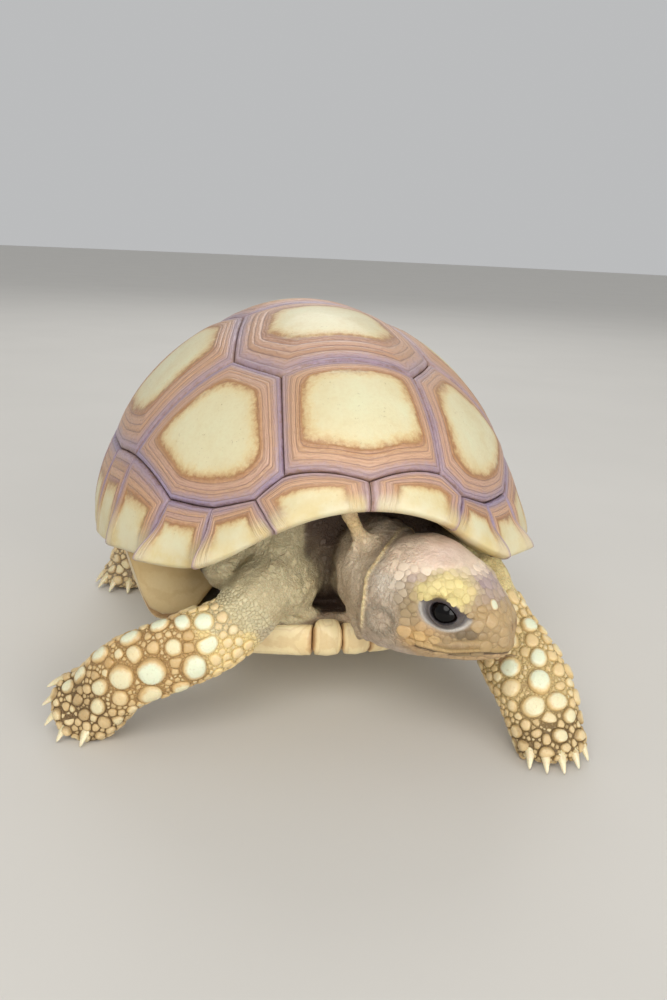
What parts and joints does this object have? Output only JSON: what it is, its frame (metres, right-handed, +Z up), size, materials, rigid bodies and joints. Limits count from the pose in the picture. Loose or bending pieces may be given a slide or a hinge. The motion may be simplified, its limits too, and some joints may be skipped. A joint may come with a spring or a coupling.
{
  "type": "young sulcata tortoise",
  "caption": "Young sulcata tortoise standing on splayed front legs with its head turned to its left, a still life-size model.",
  "frame": {"origin": "on the ground, under the middle of the whole animal's box", "axes": "+Z up; the animal faces -Y and its left side is +X"},
  "size_m": [0.0732, 0.0896, 0.0535],
  "materials": {
    "carapace": "ringed horn: cream centres, tan and violet-grey growth rings, satin",
    "marginal": "ringed horn with pale edges and brown seams, satin",
    "plastron": "smooth cream horn with faint rings, satin",
    "skin": "fine grained, creased skin, matt",
    "limb": "cream pebbled scales on brown skin, satin",
    "head": "small plates on the crown, horny beak, satin",
    "eye": "dark, wet and glossy"
  },
  "bodies": {
    "root": {"vertebral_1": "carapace", "vertebral_2": "carapace", "vertebral_3": "carapace", "vertebral_4": "carapace", "vertebral_5": "carapace", "costal_left_1": "carapace", "costal_left_2": "carapace", "costal_left_3": "carapace", "costal_left_4": "carapace", "costal_right_1": "carapace", "costal_right_2": "carapace", "costal_right_3": "carapace", "costal_right_4": "carapace", "marginal_left_1": "marginal", "marginal_left_2": "marginal", "marginal_left_3": "marginal", "marginal_left_4": "marginal", "marginal_left_5": "marginal", "marginal_left_6": "marginal", "marginal_left_7": "marginal", "marginal_left_8": "marginal", "marginal_left_9": "marginal", "marginal_left_10": "marginal", "marginal_left_11": "marginal", "marginal_right_1": "marginal", "marginal_right_2": "marginal", "marginal_right_3": "marginal", "marginal_right_4": "marginal", "marginal_right_5": "marginal", "marginal_right_6": "marginal", "marginal_right_7": "marginal", "marginal_right_8": "marginal", "marginal_right_9": "marginal", "marginal_right_10": "marginal", "marginal_right_11": "marginal", "supracaudal": "marginal", "gular_left": "plastron", "gular_right": "plastron", "humeral_left": "plastron", "humeral_right": "plastron", "pectoral_left": "plastron", "pectoral_right": "plastron", "abdominal_left": "plastron", "abdominal_right": "plastron", "femoral_left": "plastron", "femoral_right": "plastron", "anal_left": "plastron", "anal_right": "plastron", "trunk": "skin", "neck": "skin", "tail": "skin", "front_leg_left": "limb", "front_leg_right": "limb", "hind_leg_left": "limb", "hind_leg_right": "limb", "head": "head", "lower_jaw": "head", "eye_left": "eye", "eye_right": "eye"}
  },
  "joints": []
}
